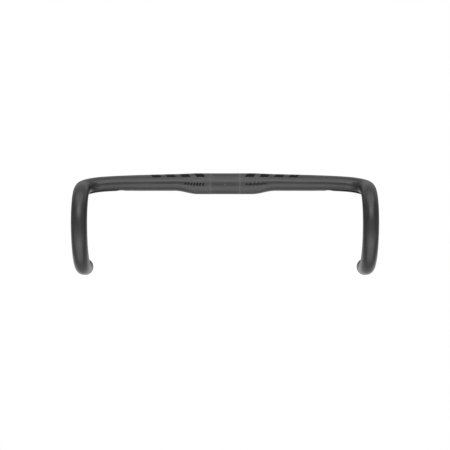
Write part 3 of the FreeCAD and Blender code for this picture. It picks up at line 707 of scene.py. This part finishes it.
def carbon_shell():
    """Satin carbon with fine streaks along the tube, a gritty band each side of the clamp's middle, and
    painted shade deep in the cable groove.
    """
    shader = Shader("satin_carbon")
    fibre = shader.attribute("fibre").outputs["Vector"]
    groove = shader.ramp(shader.attribute("groove_depth").outputs["Fac"], *GROOVE_SHADE_FADE)
    streaks = shader.noise(shader.stretched(fibre, STREAK_CELLS), detail=4)
    tows = shader.noise(shader.stretched(fibre, TOW_CELLS), detail=2)
    cloud = shader.noise(shader.stretched(fibre, CLOUD_CELLS), detail=2)
    weave = shader.maths("MULTIPLY_ADD", streaks, 0.55, shader.maths("MULTIPLY", tows, 0.45))

    place = shader.place()
    along = shader.maths("ABSOLUTE", shader.add("SeparateXYZ", [fibre]))
    grit_zone = shader.maths("MULTIPLY", shader.ramp(along, GRIT_END * MM, (GRIT_END - GRIT_FADE) * MM),
                             shader.ramp(along, GRIT_START * MM, (GRIT_START + GRIT_FADE) * MM, 0.25, 1.0))
    sand = shader.noise(place, SAND_CELLS, detail=2, roughness=0.7)
    patches = shader.noise(place, GRIT_CELLS, detail=3, roughness=0.6)
    bright_patches = shader.maths("MULTIPLY", grit_zone, shader.ramp(patches, 0.42, 0.68))
    sparkle = shader.maths("MULTIPLY", grit_zone, shader.ramp(sand, 0.56, 0.72, 0.0, 0.6))

    colour = shader.between(shader.ramp(weave, 0.36, 0.64), grey(FIBRE_DARK), grey(FIBRE_LIGHT, 0.01))
    colour = shader.between(shader.ramp(cloud, 0.4, 0.7, 0.0, 0.35), colour, grey(CLOUDED))
    colour = shader.between(bright_patches, colour, grey(GRIT_LIGHT))
    colour = shader.between(sparkle, colour, grey(SPARKLE))
    # Painted shade: the colour darkens deep in the cable groove, where shade falls in the recess.
    colour = shader.between(groove, colour, grey(GROOVE_PAINTED_SHADE))
    satin = shader.ramp(weave, 0.3, 0.7, 0.31, 0.39)
    gritty = shader.ramp(patches, 0.3, 0.7, 0.40, 0.52)
    roughness = shader.add("Mix", [grit_zone, satin, gritty])
    roughness = shader.maths("MULTIPLY_ADD", groove, 0.25, roughness)
    shader.put(shader.surface.inputs["Specular IOR Level"], shader.ramp(groove, 0, 1, 0.5, 0.15))
    normal = shader.bumped(weave, WEAVE_RELIEF, 0.5)
    normal = shader.bumped(shader.maths("MULTIPLY", grit_zone, sand), GRIT_RELIEF, 0.8, normal)
    return shader.finish(colour, roughness, normal)


def ink(name, level):
    """Printed film with a faint orange peel, of a grey level."""
    shader = Shader(name, Specular_IOR_Level=0.12)
    place = shader.place()
    peel = shader.noise(place, PEEL_CELLS, detail=2)
    worn = shader.ramp(shader.noise(place, WORN_CELLS, detail=3), 0.45, 0.75)
    colour = shader.between(worn, grey(level), grey(level * 1.25 + 0.002))
    return shader.finish(colour, shader.ramp(worn, 0, 1, 0.45, 0.55), shader.bumped(peel, PEEL_RELIEF, 0.4))


def grained(name, level, low, high, cells, relief, metallic=0.0):
    """A material with fine grain all over, of a grey level and a range of roughness."""
    shader = Shader(name, Metallic=metallic)
    place = shader.place()
    grain = shader.noise(place, cells, detail=4, roughness=0.65)
    marks = shader.ramp(shader.noise(place, cells / 9, detail=3), 0.35, 0.7)
    colour = shader.between(marks, grey(level), grey(level * 1.5 + 0.004))
    roughness = shader.ramp(grain, 0.3, 0.7, low, high)
    roughness = shader.maths("ADD", roughness, shader.maths("MULTIPLY", marks, 0.05))
    return shader.finish(colour, roughness, shader.bumped(grain, relief, 0.7))


def turned_aluminium():
    """Aluminium with fine turning rings about the plug's axis."""
    shader = Shader("turned_aluminium", Metallic=1.0)
    place = shader.place()
    rings = shader.noise(shader.stretched(place, TURNING_CELLS), detail=2)
    smear = shader.ramp(shader.noise(place, SMEAR_CELLS), 0.3, 0.7)
    colour = shader.between(smear, grey(0.30, -0.01), grey(0.40))
    roughness = shader.ramp(rings, 0.3, 0.7, 0.24, 0.42)
    return shader.finish(colour, roughness, shader.bumped(rings, TURNING_RELIEF, 0.6))


# ---------------------------------------------------------------- the pieces

drop_line = drop_rings()
_, last_grooved_y, last_grooved_z = line.ramp_end - (0, GROOVED_FORWARD, GROOVED_BELOW)
grooved_rings = [ring for ring in drop_line
                 if ring.centre[1] > last_grooved_y and ring.centre[2] > last_grooved_z]
carbon = carbon_shell()
dark_ink = ink("dark_ink", level=0.002)
pale_ink = ink("pale_ink", level=0.15)
plastic = grained("moulded_plastic", level=0.012, low=0.34, high=0.5, cells=2600.0, relief=0.00004)
rubber = grained("expander_rubber", level=0.016, low=0.6, high=0.78, cells=3200.0, relief=0.00006)
oxide = grained("black_oxide", level=0.03, low=0.28, high=0.42, cells=3800.0, relief=0.00002, metallic=0.9)
core = grained("raw_carbon", level=0.018, low=0.5, high=0.65, cells=1800.0, relief=0.00005)
aluminium = turned_aluminium()


def dressed(piece, material, body, slot, *nodes):
    """Give a piece its material and its body, and hide the CAD nodes that it stands for. The slot is not
    used.
    """
    piece.data.materials.clear()
    piece.data.materials.append(material)
    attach(piece, body)
    if nodes:
        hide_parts(*nodes)


top = shell("centre_shell", [top_ring(x) for x in spaced(-JOINT_X, JOINT_X, TOP_STEP)], 1)
dressed(top, carbon, "bar", "carbon", "centre_section")
for printed, printed_ink in zip(graphics(), (dark_ink, dark_ink, pale_ink)):
    dressed(printed, printed_ink, "bar", "carbon")
for side_name, sign in SIDES.items():
    drop = shell(f"{side_name}_drop_shell", drop_line, sign, len(grooved_rings),
                 bevels=(JOINT_BEVEL, END_BEVEL))
    dressed(drop, carbon, "bar", "carbon", f"{side_name}_drop")
    for make, part, material, body, slot in (
            (cap, "cap", plastic, "end_plug", "plug_plastic"),
            (expander, "expander", rubber, "end_plug", "expander_rubber"),
            (screw, "screw", oxide, "screw", "screw_steel")):
        piece = make(f"{side_name}_{part}", sign)
        dressed(piece, material, f"{side_name}_{body}", slot, f"{side_name}_plug_{part}")
    for node, material in (("plug_cone", aluminium), ("joint_sleeve", core)):
        cad_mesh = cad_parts[f"{side_name}_{node}"].data
        cad_mesh.materials.clear()
        cad_mesh.materials.append(material)


# ---------------------------------------------------------------- studio

# Metres, from here on.
FLOOR_Z, FLOOR_RADIUS, FLOOR_SIDES = -1.65, 3.4, 96
FLOOR_FADE = 0.35               # the floor fades out from this share of its radius
CAMERA_DISTANCE, CAMERA_HEIGHT, CAMERA_LENS, SENSOR = 1.953, -0.0627, 102.8, 36.0
CLIP_START, CLIP_END = 0.05, 50.0

# The soft light from all round is this at the horizon, and changes by this towards the top.
SKY_LEVEL, SKY_SLOPE = 0.22, -0.03
# Soft boxes: azimuth, elevation, half width and half height in degrees, and strength.
SIDE_BOXES = ((-32, 18, 15, 0.9), (60, 18, 15, 0.85))
SIDE_AZIMUTHS = (-57, 57)
SOFTBOXES = (
    (0, 34, 24, 10, 3.2),       # the key light, a strip high in front
    (0, 28, 26, 22, 0.8),       # its wide surround
    (0, 62, 26, 10, 1.7),
    (0, 88, 40, 10, 1.2),       # overhead
    (0, -46, 24, 8, 1.3),       # a strip below
    (0, -64, 34, 30, 1.5),
    (0, -20, 26, 12, 0.7),
    *((azimuth, *box) for azimuth in SIDE_AZIMUTHS for box in SIDE_BOXES),
    (180, -16, 55, 16, 0.95),   # behind, along the edges
    (180, -50, 55, 14, 0.35),
    (180, 45, 55, 24, 0.4),
)
BOX_SOFTNESS = 8.0              # degrees over which a box fades, each side of its edge


def studio_camera():
    """A level camera in front of the bar and a little below it."""
    data = bpy.data.cameras.new("camera")
    data.lens, data.sensor_width = CAMERA_LENS, SENSOR
    data.clip_start, data.clip_end = CLIP_START, CLIP_END
    camera = bpy.data.objects.new("camera", data)
    camera.location = (0, -CAMERA_DISTANCE, CAMERA_HEIGHT)
    camera.rotation_euler = (radians(90), 0, 0)
    bpy.context.scene.collection.objects.link(camera)
    bpy.context.scene.camera = camera


class Sky(Nodes):
    """The white studio round the object, as light that comes from each direction."""

    def __init__(self, name):
        self.world = bpy.data.worlds.new(name)
        super().__init__(self.world)
        self.direction = self.tree.nodes.new("ShaderNodeTexCoord").outputs["Generated"]
        self.total = None

    def towards(self, axis):
        """How far the direction points along an axis, from -1 to 1."""
        return self.add("VectorMath", [self.direction, tuple(axis)], operation="DOT_PRODUCT")

    def light(self, amount):
        """Add an amount of light."""
        self.total = amount if self.total is None else self.maths("ADD", self.total, amount)

    def softbox(self, azimuth, elevation, half_width, half_height, strength):
        """A soft rectangle of light. Azimuth 0 is in front of the object; all angles are in degrees."""
        a, e = radians(azimuth), radians(elevation)
        middle = (sin(a) * cos(e), -cos(a) * cos(e), sin(e))
        sideways = (cos(a), sin(a), 0)
        upward = (-sin(a) * sin(e), cos(a) * sin(e), cos(e))
        forward = self.towards(middle)
        shape = self.maths("MULTIPLY", self.within(half_width, sideways, forward),
                           self.within(half_height, upward, forward))
        self.light(self.maths("MULTIPLY", shape, strength))

    def within(self, reach, axis, forward):
        """1 where the direction is within reach, in degrees, of the box's middle line, and 0 outside."""
        angle = self.maths("ABSOLUTE", self.maths("ARCTAN2", self.towards(axis), forward))
        return self.ramp(angle, radians(reach + BOX_SOFTNESS), radians(reach - BOX_SOFTNESS))

    def finish(self):
        """White where the camera looks past the object, and the lights for everything else."""
        lit = self.tree.nodes["Background"]
        self.put(lit.inputs["Color"], self.add("CombineColor", [self.total] * 3))
        white = self.add("Background", [(1, 1, 1, 1)])
        seen = self.tree.nodes.new("ShaderNodeLightPath").outputs["Is Camera Ray"]
        mixed = self.add("MixShader", [seen, lit.outputs["Background"], white])
        self.put(self.tree.nodes["World Output"].inputs["Surface"], mixed)
        bpy.context.scene.world = self.world


def studio_sky():
    """The sky's even light and its soft boxes."""
    sky = Sky("white_studio")
    sky.light(sky.maths("MULTIPLY_ADD", sky.towards(Z_AXIS), SKY_SLOPE, SKY_LEVEL))
    for box in SOFTBOXES:
        sky.softbox(*box)
    sky.finish()


def studio_floor():
    """A pale round floor under the object, that fades into the white at its edge."""
    shader = Shader("pale_floor", Roughness=0.9)
    place = shader.place()
    mottle = shader.noise(place, 6.0)
    shader.finish(shader.between(mottle, grey(0.80), grey(0.84)))
    distance = shader.add("VectorMath", [place], operation="LENGTH")
    opaque = shader.ramp(distance, FLOOR_RADIUS, FLOOR_RADIUS * FLOOR_FADE)
    shader.put(shader.surface.inputs["Alpha"], opaque)
    bpy.ops.mesh.primitive_circle_add(vertices=FLOOR_SIDES, radius=FLOOR_RADIUS, fill_type="NGON",
                                      location=(0, 0, FLOOR_Z))
    floor = bpy.context.active_object
    floor.name = "floor"
    floor.data.materials.append(shader.material)
    floor.visible_glossy = floor.visible_diffuse = floor.visible_shadow = False


studio_camera()
studio_sky()
studio_floor()
bpy.context.scene.view_settings.view_transform = "Standard"
